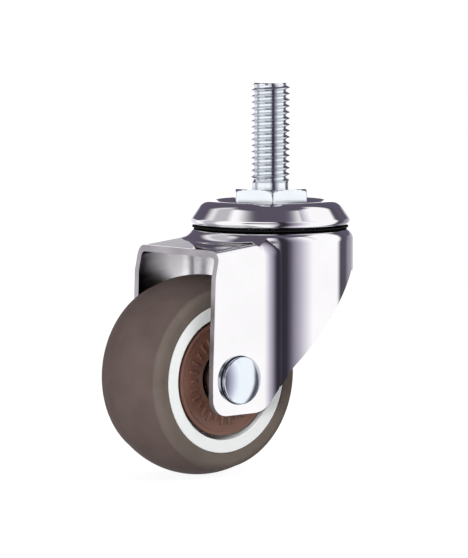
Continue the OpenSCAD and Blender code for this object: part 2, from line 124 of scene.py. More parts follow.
class Tree:
    """A node tree, with short names for what is used often."""

    def __init__(self, tree):
        self.tree = tree

    def add(self, kind, **values):
        """A new node. Each value is one of its properties, or else one of its sockets by name."""
        node = self.tree.nodes.new(kind)
        for key, value in values.items():
            if hasattr(node, key):
                setattr(node, key, value)
            else:
                node.inputs[key.replace("_", " ")].default_value = value
        return node

    def link(self, out, to):
        self.tree.links.new(out, to)

    def split(self, vector):
        """The three numbers of a vector, by the names X, Y and Z."""
        node = self.add("ShaderNodeSeparateXYZ")
        self.link(vector, node.inputs[0])
        return node.outputs

    def math(self, operation, *values):
        """The result of a math node, whose values are numbers or outputs."""
        node = self.add("ShaderNodeMath", operation=operation)
        for socket, value in zip(node.inputs, values):
            if isinstance(value, (int, float)):
                socket.default_value = value
            else:
                self.link(value, socket)
        return node.outputs[0]

    def times(self, a, b):
        return self.math("MULTIPLY", a, b)

    def rising(self, value, start, end):
        """Rises smoothly from 0 to 1 while the value goes from start to end."""
        node = self.add("ShaderNodeMapRange", interpolation_type="SMOOTHSTEP", From_Min=start, From_Max=end)
        self.link(value, node.inputs["Value"])
        return node.outputs["Result"]

    def falling(self, value, start, end):
        """Falls smoothly from 1 to 0 while the value goes from start to end."""
        return self.math("SUBTRACT", 1.0, self.rising(value, start, end))

    def ramp(self, fac, stops):
        """A colour ramp through stops of (position, colour), with positions from 0 to 1."""
        node = self.add("ShaderNodeValToRGB")
        elements = node.color_ramp.elements
        elements.remove(elements[1])
        elements[0].position = stops[0][0]
        elements[0].color = (*stops[0][1], 1.0)
        for position, colour in stops[1:]:
            elements.new(position).color = (*colour, 1.0)
        self.link(fac, node.inputs["Fac"])
        return node.outputs["Color"]

    def either(self, fac, first, second):
        """The first shader where fac is 0, the second where it is 1."""
        node = self.add("ShaderNodeMixShader")
        for out, socket in zip((fac, first.outputs[0], second.outputs[0]), node.inputs):
            self.link(out, socket)
        return node


class Nodes(Tree):
    """A material's node tree round its Principled BSDF."""

    def __init__(self, name, base, rough, metal=0.0):
        self.mat = bpy.data.materials.new(name)
        self.mat.use_nodes = True
        super().__init__(self.mat.node_tree)
        self.bsdf = self.tree.nodes["Principled BSDF"]
        self.set("Base Color", (*base, 1.0))
        self.set("Roughness", rough)
        self.set("Metallic", metal)

    def set(self, socket, value):
        self.bsdf.inputs[socket].default_value = value

    def coords(self):
        return self.add("ShaderNodeTexCoord").outputs["Object"]

    def noise(self, scale, detail=4.0, rough=0.5, stretch=None):
        node = self.add("ShaderNodeTexNoise", Scale=scale, Detail=detail, Roughness=rough)
        at = self.coords()
        if stretch:
            mapping = self.add("ShaderNodeMapping", Scale=stretch)
            self.link(at, mapping.inputs["Vector"])
            at = mapping.outputs["Vector"]
        self.link(at, node.inputs["Vector"])
        return node.outputs["Fac"]

    def between(self, fac, low, high, from_low=0.3, from_high=0.7):
        node = self.add("ShaderNodeMapRange", From_Min=from_low, From_Max=from_high, To_Min=low, To_Max=high)
        self.link(fac, node.inputs["Value"])
        return node.outputs["Result"]

    def mottled(self, fac, base, spread):
        """A colour from a little darker to a little lighter than base."""
        low = tuple(c * (1 - spread) for c in base)
        high = tuple(min(1.0, c * (1 + spread)) for c in base)
        return self.ramp(fac, [(0.3, low), (0.7, high)])

    def bump(self, height, strength, distance):
        node = self.add("ShaderNodeBump", Strength=strength, Distance=distance)
        self.link(height, node.inputs["Height"])
        self.link(node.outputs["Normal"], self.bsdf.inputs["Normal"])

    def colour(self, out):
        self.link(out, self.bsdf.inputs["Base Color"])

    def rough(self, out):
        self.link(out, self.bsdf.inputs["Roughness"])


def metal(name, base, rough, spread=0.04, grain=900.0, depth=0.00001, strength=0.12):
    """Metal, a little uneven in colour and shine, with a fine grain whose depth is in metres."""
    n = Nodes(name, base, rough, 1.0)
    cloud = n.noise(140.0)
    n.colour(n.mottled(cloud, base, spread))
    n.rough(n.between(cloud, rough * 0.75, rough * 1.3))
    n.bump(n.noise(grain, 5.0, 0.6), strength, depth)
    return n.mat


def plastic(name, base, rough, spread=0.05, grain=1500.0, depth=0.00003, strength=0.2, shine=0.3):
    """Moulded plastic, uneven in the same way."""
    n = Nodes(name, base, rough)
    cloud = n.noise(180.0)
    n.colour(n.mottled(cloud, base, spread))
    n.rough(n.between(cloud, rough * 0.9, rough * 1.12))
    n.bump(n.noise(grain, 4.0, 0.6), strength, depth)
    n.set("Specular IOR Level", shine)
    return n.mat


def rubber(name, tread, side, start, end):
    """Tyre rubber: a darker tread and paler side walls, which begin between two distances from the middle."""
    n = Nodes(name, tread, 0.42)
    cloud = n.noise(170.0)
    mix = n.add("ShaderNodeMix", data_type="RGBA")
    n.link(n.rising(n.math("ABSOLUTE", n.split(n.coords())["Y"]), start, end), mix.inputs["Factor"])
    for colour, socket in ((tread, "A"), (side, "B")):
        n.link(n.mottled(cloud, colour, 0.12), mix.inputs[socket])
    n.colour(mix.outputs["Result"])
    n.rough(n.between(cloud, 0.55, 0.65))
    n.bump(n.noise(1300.0, 4.0, 0.6), 0.3, 0.00004)
    n.set("Specular IOR Level", 0.02)
    return n.mat


def inner_chrome_painted_shade(name, start, end):
    """The less polished inside of the fork, with painted shade darkening it towards its front edge, between
    two X positions.
    """
    n = Nodes(name, (0.5, 0.49, 0.5), 0.3, 1.0)
    cloud = n.noise(220.0, stretch=(0.35, 1.0, 1.0))
    wander = 0.006
    along = n.math("MULTIPLY_ADD", cloud, wander, n.split(n.coords())["X"])
    # Painted shade: the colour goes from near black at the front edge to pale further back
    n.colour(n.ramp(n.between(along, 0.0, 1.0, start + wander / 2, end + wander / 2), [
        (0.0, (0.06, 0.055, 0.06)), (0.35, (0.30, 0.29, 0.30)), (1.0, (0.74, 0.73, 0.74))]))
    n.rough(n.between(cloud, 0.24, 0.38))
    n.bump(n.noise(500.0, 5.0, 0.6, (0.25, 1.0, 1.0)), 0.5, 0.00006)
    return n.mat


chrome = metal("chrome", (0.62, 0.61, 0.62), 0.06, spread=0.02)
chrome_edge = metal("chrome_edge", (0.40, 0.38, 0.40), 0.42, spread=0.18, grain=1400.0, depth=0.00005,
                    strength=0.5)
chrome_inside_painted_shade = inner_chrome_painted_shade("chrome_inside_painted_shade", -0.0242, -0.0165)
zinc = metal("zinc", (0.58, 0.61, 0.64), 0.13, spread=0.06, grain=700.0, depth=0.00002, strength=0.25)
steel = metal("steel", (0.50, 0.50, 0.52), 0.24, spread=0.05)
rivet_metal = metal("rivet_metal", (0.56, 0.60, 0.65), 0.16, spread=0.03)
seal = plastic("seal", (0.008, 0.008, 0.009), 0.8, shine=0.08)
core_plastic = plastic("core_plastic", (0.81, 0.825, 0.82), 0.38, spread=0.02)
cover_plastic = plastic("cover_plastic", (0.145, 0.068, 0.048), 0.36, spread=0.12, grain=1800.0,
                        depth=0.00004, strength=0.3)
cage_plastic = plastic("cage_plastic", (0.32, 0.32, 0.33), 0.4)
tyre_rubber = rubber("tyre_rubber", (0.112, 0.083, 0.077), (0.140, 0.113, 0.099), 0.0077, 0.0084)

BY_SLOT = {"zinc_steel": zinc, "chrome": chrome, "steel": steel, "seal": seal, "rivet": rivet_metal,
           "tyre": tyre_rubber, "core": core_plastic, "cover": cover_plastic, "cage": cage_plastic}
for name, node in NODES.items():
    material = BY_SLOT[SLOTS[name]]
    if node.material_slots:
        for material_slot in node.material_slots:
            material_slot.material = material
    else:
        node.data.materials.append(material)


# Mesh helpers

def make(name, verts, faces, material, body, replaced, normals=None):
    """A piece of its own from vertices in millimetres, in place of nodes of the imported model."""
    mesh = bpy.data.meshes.new(name)
    mesh.from_pydata([tuple(v) for v in np.asarray(verts) * MM], [], [tuple(f) for f in faces])
    mesh.validate()
    mesh.materials.append(material)
    mesh.shade_smooth()
    if normals is not None:
        mesh.normals_split_custom_set_from_vertices([tuple(n) for n in normals])
    obj = bpy.data.objects.new(name, mesh)
    bpy.context.scene.collection.objects.link(obj)
    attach(obj, body)
    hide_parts(*replaced)
    return obj


def joined(pieces):
    """Several sets of vertices and faces as one."""
    verts, faces, at = [], [], 0
    for piece_verts, piece_faces in pieces:
        verts.append(piece_verts)
        faces += [tuple(i + at for i in face) for face in piece_faces]
        at += len(piece_verts)
    return np.concatenate(verts), faces


def round_corners(points, step=12.0):
    """A closed outline of (a, b) or (a, b, radius), its corners rounded with a point every step degrees."""
    out = []
    n = len(points)
    for i, p in enumerate(points):
        here = np.array(p[:2], float)
        radius = p[2] if len(p) > 2 else 0.0
        if radius <= 0:
            out.append(here)
            continue
        before = np.array(points[i - 1][:2], float) - here
        after = np.array(points[(i + 1) % n][:2], float) - here
        before /= np.linalg.norm(before)
        after /= np.linalg.norm(after)
        half = math.acos(max(-1.0, min(1.0, float(before @ after)))) / 2
        mid = before + after
        centre = here + mid / np.linalg.norm(mid) * radius / math.sin(half)
        start = here + before * radius / math.tan(half)
        end = here + after * radius / math.tan(half)
        a0 = math.atan2(*(start - centre)[::-1])
        turn = (math.atan2(*(end - centre)[::-1]) - a0 + math.pi) % (2 * math.pi) - math.pi
        steps = max(2, math.ceil(abs(math.degrees(turn)) / step))
        angles = [a0 + turn * k / steps for k in range(steps + 1)]
        out += [centre + radius * np.array([math.cos(a), math.sin(a)]) for a in angles]
    return out


def arc(centre, radius, start, end, count):
    """Points on an arc, angles in degrees."""
    return [(centre[0] + radius * math.cos(math.radians(start + (end - start) * k / count)),
             centre[1] + radius * math.sin(math.radians(start + (end - start) * k / count)))
            for k in range(count + 1)]


def outline_normals(points):
    """Outward normals of a closed outline, each weighted by the length of the two edges at its point."""
    p = np.array(points)
    edge = np.roll(p, -1, 0) - p
    area = np.sum(p[:, 0] * np.roll(p[:, 1], -1) - np.roll(p[:, 0], -1) * p[:, 1])
    sign = 1.0 if area > 0 else -1.0
    weighted = np.c_[edge[:, 1], -edge[:, 0]] * sign
    on_axis = (np.abs(p[:, 0]) < 1e-9) & (np.abs(np.roll(p[:, 0], -1)) < 1e-9)
    weighted[on_axis] = 0
    both = weighted + np.roll(weighted, 1, 0)
    return both / np.maximum(np.linalg.norm(both, axis=1, keepdims=True), 1e-12), sign


def turned(points, count, place=None):
    """Vertices, faces and normals of an outline of (radius, height) turned about its height axis."""
    keep = [points[0]]
    for p in points[1:]:
        if np.hypot(p[0] - keep[-1][0], p[1] - keep[-1][1]) > 1e-6:
            keep.append(p)
    flat_normals, sign = outline_normals(keep)
    angles = 2 * math.pi * np.arange(count) / count
    verts, normals, base = [], [], []
    for (r, h), (nr, nh) in zip(keep, flat_normals):
        base.append((len(verts), r > 1e-9))
        if r > 1e-9:
            for a in angles:
                verts.append((r * math.cos(a), r * math.sin(a), h))
                normals.append((nr * math.cos(a), nr * math.sin(a), nh))
        else:
            verts.append((0.0, 0.0, h))
            normals.append((0.0, 0.0, 1.0 if nh > 0 else -1.0))
    faces = []
    n = len(keep)
    for i in range(n):
        (a, a_ring), (b, b_ring) = base[i], base[(i + 1) % n]
        if not a_ring and not b_ring:
            continue
        for j in range(count):
            k = (j + 1) % count
            if a_ring and b_ring:
                f = (a + j, a + k, b + k, b + j)
            elif a_ring:
                f = (a + j, a + k, b)
            else:
                f = (a, b + k, b + j)
            faces.append(f if sign > 0 else f[::-1])
    verts, normals = np.array(verts), np.array(normals)
    return (place(verts), faces, place(normals, False)) if place else (verts, faces, normals)


def turned_piece(name, outline, count, place, material, body, replaced):
    """A piece that is one outline, turned in count steps."""
    verts, faces, normals = turned(outline, count, place)
    make(name, verts, faces, material, body, replaced, normals)


def near(v, point=True):
    """From an outline's own axis to the axle, with its height towards the near side (-Y)."""
    out = np.c_[v[:, 0], -v[:, 2], v[:, 1]]
    return out + ([axle_x, 0, axle_z] if point else [0, 0, 0])


def far_side(v, point=True):
    """The same for the far side (+Y), turned half round the Z axis through the axle."""
    out = np.c_[-v[:, 0], v[:, 2], v[:, 1]]
    return out + ([axle_x, 0, axle_z] if point else [0, 0, 0])


# The fork, from the same outlines as the part's source, as a distance field turned into a fine mesh

def cut(a, b, r):
    """Where two shapes overlap, with the edge rounded to radius r. Distances are positive outside."""
    return np.minimum(-r, np.maximum(a, b)) + np.hypot(np.maximum(a + r, 0), np.maximum(b + r, 0))


def plan(x, y, leg, blend):
    """A leg's slab with its hollow blend to the drum, in plan, and the distance left to the blend's end."""
    ya = np.abs(y)
    slab = np.maximum(ya - leg, x)
    dx, dy = x - blend_x, ya - blend_y
    to = np.array([-blend_x, -blend_y]) / math.hypot(blend_x, blend_y)
    before_end = dx * to[1] - dy * to[0]
    return np.where((dx >= 0) & (before_end >= 0), blend - np.hypot(dx, dy), slab), before_end


def side_outline():
    """The fork's outline in side view. Its back edge is straight from the knee to the foot's round corner."""
    knee = np.array([axle_x + knee_back, axle_z + knee_up])
    foot = np.array([axle_x + foot_back - foot_back_r, foot_z + foot_back_r])
    to = foot - knee
    turn = math.atan2(to[1], to[0]) + math.asin(foot_back_r / np.linalg.norm(to))
    touch = foot + foot_back_r * np.array([-math.sin(turn), math.cos(turn)])
    run = knee - touch
    corner = touch - run * (touch[1] - foot_z) / run[1]
    over, behind = 6.0, drum_r + 3.0
    return np.array(round_corners([
        (visor_x, over), (visor_x, visor_z - front_straight, 2.5),
        (visor_x - front_step, visor_z - front_straight - step_h, 6), (foot_x, axle_z, 12),
        (foot_x, foot_z, foot_front_r), (corner[0], foot_z, foot_back_r), (*knee, 8), (slant_x, skirt_z, 1.2),
        (behind, skirt_z), (behind, over)], 4.0))


OUTLINE = side_outline()


def side(x, z):
    """Distance to the fork's outline in side view."""
    best = np.full(x.shape, 1e9)
    inside = np.zeros(x.shape, bool)
    for (ax, az), (bx, bz) in zip(OUTLINE, np.roll(OUTLINE, -1, 0)):
        ex, ez = bx - ax, bz - az
        px, pz = x - ax, z - az
        t = np.clip((px * ex + pz * ez) / (ex * ex + ez * ez), 0, 1)
        best = np.minimum(best, (px - t * ex) ** 2 + (pz - t * ez) ** 2)
        cross = (az > z) != (bz > z)
        if ez != 0:
            inside ^= cross & (x < ax + (z - az) / ez * ex)
    return np.where(inside, -1.0, 1.0) * np.sqrt(best)


def smooth(t):
    """Rises smoothly from 0 to 1, as t does."""
    t = np.clip(t, 0, 1)
    return t * t * (3 - 2 * t)


def shell(x, y, z):
    """The fork's sheet before its outline is cut. Then come the distances from the middles of the two races
    and from the swivel's axis, and a value that is below 0 towards the inner side of the sheet."""
    top = (z - visor_z) * math.cos(visor_tilt) - (x - visor_x) * math.sin(visor_tilt)
    r = np.hypot(x, y)
    outer_plan, before_end = plan(x, y, leg_out, blend_r)
    box = cut(outer_plan, top, bend_r)
    drum = np.minimum(cut(r - drum_r, z - shoulder_z, crown_round), np.maximum(r - land_r, z - land_z))
    # The fillet between them fades out where the hollow blend already meets the drum smoothly
    fillet = np.maximum(visor_fillet * smooth((top - outer_plan) / (fillet_fade / 2)),
                        leg_fillet * smooth((z - visor_z + fillet_fade) / fillet_fade))
    outer = -cut(-box, -drum, fillet * smooth(before_end / fillet_fade))
    inner_box = cut(plan(x, y, leg_in, blend_r + sheet)[0], top + sheet, bend_r - sheet)
    inner_drum = np.minimum(cut(r - drum_in, z - shoulder_z + sheet, crown_round - sheet),
                            np.maximum(r - land_r + sheet, z - under_z))
    inner = np.minimum(inner_box, inner_drum)
    up = np.hypot(r - upper_r, z - upper_z)
    low = np.hypot(r - lower_r, z - lower_z)
    bulge = np.minimum(np.maximum(up - race_r - sheet, z - (shoulder_z + under_z) / 2),
                       np.maximum(low - race_r - sheet, under_z + sheet / 2 - z))
    return np.minimum(np.maximum(outer, -inner), bulge), up, low, r, outer + inner


def fork_fields(x, y, z, outline=None):
    """The distances whose largest is the fork's surface."""
    body, up, low, r, _ = shell(x, y, z)
    axle = np.hypot(x - axle_x, z - axle_z)
    return [body, side(x, z) if outline is None else outline, race_r - up, race_r - low, crown_hole - r,
            shank_r + fit_gap - axle]


def at_points(p):
    """All fields at each of some points."""
    return np.array(fork_fields(p[:, 0], p[:, 1], p[:, 2]))


def slopes(p, fields, step=2e-3):
    """How fast each field changes along X, Y and Z."""
    return np.stack([(fields(p + d) - fields(p - d)) / (2 * step) for d in np.eye(3) * step], -1)


CELL = 0.3


def fork_grid():
    """The first point and the distances of a grid round the fork, which lies evenly about Y = 0."""
    margin, head_room = 2 * CELL, 1.0
    half = (math.ceil((drum_r + margin) / CELL) + 0.5) * CELL
    axes = [np.arange(foot_x - margin, drum_r + margin + CELL, CELL),
            -half + CELL * np.arange(int(round(2 * half / CELL)) + 1),
            np.arange(foot_z - margin, land_z + head_room + CELL, CELL)]
    x, z = np.meshgrid(axes[0], axes[2], indexing="ij")
    outline = side(x, z)[:, None, :]
    x, y, z = np.meshgrid(*axes, indexing="ij")
    fields = [np.broadcast_to(f, x.shape) for f in fork_fields(x, y, z, outline)]
    return np.array([a[0] for a in axes]), np.max(fields, 0)


def crossed_cells(value, inside):
    """Marks the cells that the surface passes through, and gives the middle of each one's crossings."""
    cells = tuple(s - 1 for s in value.shape)
    total = np.zeros((*cells, 3))
    count = np.zeros(cells)
    for axis in range(3):
        others = [k for k in range(3) if k != axis]
        for o1 in (0, 1):
            for o2 in (0, 1):
                off = [0, 0, 0]
                off[others[0]], off[others[1]] = o1, o2
                a = tuple(slice(off[k], off[k] + cells[k]) for k in range(3))
                off[axis] = 1
                b = tuple(slice(off[k], off[k] + cells[k]) for k in range(3))
                crossing = inside[a] != inside[b]
                t = np.where(crossing, value[a] / np.where(crossing, value[a] - value[b], 1), 0)
                for k in range(3):
                    total[..., k] += crossing * (t if k == axis else off[k])
                count += crossing
    used = count > 0
    return used, total[used] / count[used][:, None]


def onto_surface(p, corner, reach=0.3, close=0.01):
    """Moves points onto the surface, and onto an edge of it where one passes through or by their cell."""
    rows = np.arange(len(p))
    # An edge is where the two largest fields are both 0
    q = p.copy()
    for _ in range(4):
        g = at_points(q)
        s = slopes(q, at_points)
        order = np.argsort(-g, axis=0)[:2]
        g1, g2 = g[order[0], rows], g[order[1], rows]
        s1, s2 = s[order[0], rows], s[order[1], rows]
        a11, a12, a22 = (s1 * s1).sum(1), (s1 * s2).sum(1), (s2 * s2).sum(1)
        det = np.maximum(a11 * a22 - a12 ** 2, 1e-6)
        l1, l2 = (g1 * a22 - g2 * a12) / det, (g2 * a11 - g1 * a12) / det
        move = l1[:, None] * s1 + l2[:, None] * s2
        size = np.linalg.norm(move, axis=1, keepdims=True)
        q -= move * np.minimum(1, CELL / np.maximum(size, 1e-9))
    g = np.sort(at_points(q), axis=0)
    on_edge = (np.abs(g[-1]) < close) & (np.abs(g[-2]) < close) & np.all(
        (q > corner - reach * CELL) & (q < corner + (1 + reach) * CELL), axis=1)
    # The surface is where the largest field is 0
    for _ in range(4):
        g = at_points(p)
        s = slopes(p, at_points)
        first = np.argmax(g, axis=0)
        g1, s1 = g[first, rows], s[first, rows]
        p -= (g1 / np.maximum((s1 * s1).sum(1), 1e-6))[:, None] * s1
    p[on_edge] = q[on_edge]
    return p


def grid_faces(inside, index):
    """The four cells round each crossed edge of the grid make a face."""
    faces = []
    for axis in range(3):
        u, v = [k for k in range(3) if k != axis]
        a = [slice(None)] * 3
        b = [slice(None)] * 3
        a[axis], b[axis] = slice(0, -1), slice(1, None)
        first = inside[tuple(a)]
        for pos in np.argwhere(first != inside[tuple(b)]):
            ids = []
            for du, dv in ((-1, -1), (0, -1), (0, 0), (-1, 0)):
                at = list(pos)
                at[u] += du
                at[v] += dv
                ids.append(index[tuple(at)])
            turn = bool(first[tuple(pos)]) != (axis == 1)
            faces.append(ids if turn else ids[::-1])
    return faces


def fork_mesh():
    """The fork's vertices and faces, one vertex in each cell that its surface passes through."""
    first_point, value = fork_grid()
    inside = value < 0
    used, middle = crossed_cells(value, inside)
    index = -np.ones(used.shape, int)
    index[used] = np.arange(used.sum())
    corner = first_point + np.argwhere(used) * CELL
    return onto_surface(corner + middle * CELL, corner), grid_faces(inside, index)


def crisp_normals(mesh, points, which):
    """Gives each corner the slope of the field that its face lies on, so that the cut edges stay crisp."""
    slope = slopes(points, at_points)
    slope /= np.maximum(np.linalg.norm(slope, axis=2, keepdims=True), 1e-9)
    corners = np.zeros(len(mesh.loops), np.int32)
    mesh.loops.foreach_get("vertex_index", corners)
    sizes = np.zeros(len(mesh.polygons), np.int32)
    mesh.polygons.foreach_get("loop_total", sizes)
    mesh.normals_split_custom_set(slope[np.repeat(which, sizes), corners].tolist())


verts, faces = fork_mesh()
fork = make("fork_sheet", verts, faces, chrome, "fork", ["fork"])
fork.data.materials.append(chrome_edge)
fork.data.materials.append(chrome_inside_painted_shade)
middle = np.zeros(len(fork.data.polygons) * 3, np.float32)
fork.data.polygons.foreach_get("center", middle)
middle = middle.reshape(-1, 3) / MM
# Which field each face lies on, in the order of fork_fields: 0 is the sheet and 1 the cut outline. The
# materials are 0 for the plated outside, 1 for the cut edge and 2 for the inside, which has painted shade
which = np.argmax(at_points(middle), axis=0)
inward = shell(*middle.T)[4] < 0
material_index = np.where(which == 1, 1, np.where((which == 0) & inward, 2, 0))
fork.data.polygons.foreach_set("material_index", material_index.astype(np.int32))
crisp_normals(fork.data, verts, which)


# The cap: pressed ring with a rounded crest and a rolled lip
def flank(radius, level):
    """Angle of the point at which an arc round the upper race meets a level, on the side of the axis."""
    rise = level - upper_z
    return math.degrees(math.atan2(rise, -math.sqrt(radius ** 2 - rise ** 2)))


lip_x, lip_up = lip_c - upper_r, lip_z - upper_z
touch = math.degrees(math.atan2(lip_up, lip_x) + math.acos((cap_out - lip_r) / math.hypot(lip_x, lip_up)))
# In degrees, where the roll starts under the crest
roll_start = 128
bore = kingpin_r + fit_gap
cap = [(bore, floor_z - cap_t)]
cap += arc((upper_r, upper_z), race_r, flank(race_r, floor_z - cap_t), touch, 24)
cap += arc((lip_c, lip_z), lip_r, roll_start, 360 + touch, 40)
cap += arc((upper_r, upper_z), cap_out, touch, flank(cap_out, floor_z), 48)
cap += [(bore, floor_z)]
turned_piece("cap", cap, 240, None, chrome, "head", ["cap_ring"])


# The stem: thread, collar, kingpin and its peened end
def thread():
    """A strip along the helix. Each of its rows is the profile of one turn."""
    per_turn = 72
    # Each point of the profile is a share of the pitch and a share of the depth
    profile = [(0.0, 0.0), (0.035, 0.01), (0.07, 0.06), (0.30, 0.90), (0.36, 0.99), (0.5, 1.0), (0.64, 0.99),
               (0.70, 0.90), (0.93, 0.06), (0.965, 0.01)]
    start, end, run_out = neck_h, stem_len, 2.0
    root_slope, crest_slope = 0.5, 0.35
    turns = int((end - start) / pitch) + 3
    rows = []
    for i in range(turns * per_turn + 1):
        a = 2 * math.pi * i / per_turn
        row = []
        for f, d in profile:
            z = start - pitch + pitch * (i / per_turn + f - 0.5)
            r = thread_r - thread_depth * d
            z_in = min(max(z, start), end)
            if z_in < start + run_out:
                r = max(r, neck_r - root_slope * (z_in - start))
            r = min(r, neck_r + crest_slope * (z_in - start), thread_r - max(0.0, z_in - end + tip_chamfer))
            row.append((r * math.cos(a), r * math.sin(a), z_in))
        rows.append(row)
    # The row one turn further on carries on the same helix, so neighbouring turns share their edge
    count = len(profile)
    verts = [p for row in rows for p in row]
    faces = []
    for i in range(len(rows) - 1):
        for j in range(count - 1):
            a, b = i * count + j, (i + 1) * count + j
            faces.append((a, b, b + 1, a + 1))
        if i + per_turn + 1 < len(rows):
            a, b = i * count + count - 1, (i + 1) * count + count - 1
            c, d = (i + per_turn) * count, (i + per_turn + 1) * count
            faces.append((a, b, d, c))
    return np.array(verts), faces


def collar():
    """The hexagonal collar with chamfered ends and corners a little rounded."""
    count, apothem, corner_r, sharpness = 240, hex_af / 2, 8.36, 14
    # Heights from the collar's top, each with the largest radius there
    levels = [(0.0, 3.5), (0.0, 6.6), (0.0, 7.1), (-0.03, 7.3), (-0.12, 7.6), (-0.30, 7.9), (-0.55, 8.15),
              (-0.8, 9.0), (-3.6, 9.0), (-3.85, 8.2), (-4.0, 7.6), (-4.0, 3.5)]
    verts, faces = [], []
    for z, limit in levels:
        for k in range(count):
            a = 2 * math.pi * k / count
            flat = apothem / math.cos((a % (math.pi / 3)) - math.pi / 6)
            soft = -math.log(math.exp(-flat * sharpness) + math.exp(-corner_r * sharpness)) / sharpness
            r = min(soft, limit)
            t = a + math.radians(hex_turn)
            verts.append((r * math.cos(t), r * math.sin(t), z))
    for i in range(len(levels) - 1):
        for k in range(count):
            m = (k + 1) % count
            faces.append((i * count + k, (i + 1) * count + k, (i + 1) * count + m, i * count + m))
    return np.array(verts), faces


peen_z = cup_bottom - peen_h
pin = [(0, peen_z)] + round_corners([
    (peen_r, peen_z, 0.5), (peen_r, cup_bottom, 0.05), (kingpin_r, cup_bottom), (kingpin_r, floor_z),
    (0, floor_z)])
neck = [(0, -0.1), (neck_r, -0.1), (neck_r, neck_h), (0, neck_h)]
tip_r, plug_z = thread_r - tip_chamfer, stem_len - plug_h
tip = round_corners([(0, plug_z), (tip_r - 0.4, plug_z), (tip_r, stem_len, 0.15), (0, stem_len)])
verts, faces = joined([thread(), collar()] + [turned(outline, 96)[:2] for outline in (pin, neck, tip)])
stem = make("stem", verts, faces, zinc, "head", ["stem_bolt"])
stem.data.set_sharp_from_angle(angle=math.radians(32))


# The rivet: domed head near, formed end far
dome_h = head_h - head_side
dome_c = (head_r ** 2 - dome_h ** 2) / 2 / dome_h
dome_big = dome_c + dome_h
dome_edge = math.degrees(math.atan2(dome_c, head_r - 0.25))
end_y = -leg_out - washer_t
rivet = round_corners([
    (0, end_y - end_h), (end_r, end_y - end_h, 0.7), (end_r, end_y, 0.06), (shank_r, end_y),
    (shank_r, leg_out), (head_r, leg_out, 0.08), (head_r, leg_out + head_side, 0.22)])
rivet += arc((0, leg_out + head_h - dome_big), dome_big, dome_edge, 90, 24)
turned_piece("rivet", rivet, 160, near, rivet_metal, "fork", ["axle_rivet"])
washer = round_corners([(shank_r + fit_gap, end_y), (washer_r, end_y, 0.2), (washer_r, -leg_out, 0.1),
                        (shank_r + fit_gap, -leg_out)])
turned_piece("washer", washer, 128, near, zinc, "fork", ["rivet_washer"])


# The tyre: crowned tread, rounded shoulders, flat sides
tread_y = side_y - shoulder_r
crown_arc = (tread_y ** 2 + tread_crown ** 2) / 2 / tread_crown
tread_end = math.degrees(math.asin(tread_y / crown_arc))
shoulder_start = tread_end + 3
side_r = wheel_r - tread_crown - shoulder_r
tyre = [(rim_out + fit_gap, -side_y + bead_h), (rim_out + bead, -side_y)]
tyre += arc((side_r, -tread_y), shoulder_r, -90, -shoulder_start, 14)
tyre += arc((wheel_r - crown_arc, 0), crown_arc, -tread_end, tread_end, 40)
tyre += arc((side_r, tread_y), shoulder_r, shoulder_start, 90, 14)
tyre += [(rim_out + bead, side_y), (rim_out + fit_gap, side_y - bead_h)]
turned_piece("tyre_body", tyre, 220, near, tyre_rubber, "wheel", ["tyre"])


# The core: white rim, web and hub
half = [(bearing_r - hub_shoulder, bearing_back), (seat_r, bearing_back), (seat_r, hub_y),
        (hub_r, hub_y, 0.1), (hub_r, web_t / 2, 0.6), (rim_in, web_t / 2, 0.6), (rim_in, rim_y, 0.25),
        (rim_out, rim_y, 0.2)]
core = round_corners(half + [(p[0], -p[1], *p[2:]) for p in half[::-1]])
turned_piece("core", core, 200, near, core_plastic, "wheel", ["wheel_core"])


# The hub covers: disc with a raised rim line, ribs and a collar that grips the hub
cover_r = rim_in - cover_groove
collar_in = hub_r + fit_gap
collar_out = collar_in + collar_t
collar_y = cover_back - collar_h
field_y = cover_y - line_h
cover = round_corners([
    (cover_hole, cover_back), (collar_in, cover_back), (collar_in, collar_y), (collar_out, collar_y, 0.1),
    (collar_out, cover_back), (cover_r, cover_back, 0.1), (cover_r, cover_y, 0.3),
    (cover_r - line_w, cover_y, 0.3), (cover_r - line_foot, field_y, 0.2), (cover_hole, field_y, 0.2)])


def ribs():
    """A ring of raised marks, every third one shorter. Each has a foot, a waist and a chamfered top."""
    verts, faces = [], []
    for k in range(rib_count):
        a = 2 * math.pi * k / rib_count
        ca, sa = math.cos(a), math.sin(a)
        length = rib_len * (1.0 if k % 3 else 0.7)
        for inset, up in ((0.0, -rib_root), (0.0, rib_h * 0.6), (rib_chamfer, rib_h)):
            for u, w in ((0, 0), (1, 0), (1, 1), (0, 1)):
                r = rib_r + inset + u * (length - 2 * inset)
                t = (w - 0.5) * (rib_w - 2 * inset)
                verts.append((r * ca - t * sa, r * sa + t * ca, cover_y + up))
        first = k * 12
        for level in (first, first + 4):
            for c in range(4):
                d = (c + 1) % 4
                faces.append((level + c, level + d, level + 4 + d, level + 4 + c))
        faces.append((first + 8, first + 9, first + 10, first + 11))
    return np.array(verts), faces


SIDES = (("near", near), ("far", far_side))
for tag, place in SIDES:
    rib_verts, rib_faces = ribs()
    verts, faces = joined([turned(cover, 200, place)[:2], (place(rib_verts), rib_faces)])
    disc = make("cover_" + tag, verts, faces, cover_plastic, "wheel", ["hub_cover_" + tag])
    disc.data.set_sharp_from_angle(angle=math.radians(40))


# Spacers between the bearings and the legs, with softened edges
spacer = round_corners([(bearing_bore_r, bearing_y), (spacer_r, bearing_y, 0.1), (spacer_r, leg_in, 0.1),
                        (bearing_bore_r, leg_in)])
for tag, place in SIDES:
    turned_piece("spacer_" + tag, spacer, 96, place, zinc, "fork", ["side_spacer_" + tag])


# The world: what shines sees a studio of light and dark walls, the camera sees white
world = bpy.data.worlds.new("studio")
bpy.context.scene.world = world
world.use_nodes = True
sky = Tree(world.node_tree)
sky.tree.nodes.clear()
direction = sky.split(sky.add("ShaderNodeTexCoord").outputs["Generated"])
azimuth = sky.times(sky.math("ARCTAN2", direction["Y"], direction["X"]), 180 / math.pi)
height = sky.times(sky.math("ARCSINE", direction["Z"]), 180 / math.pi)
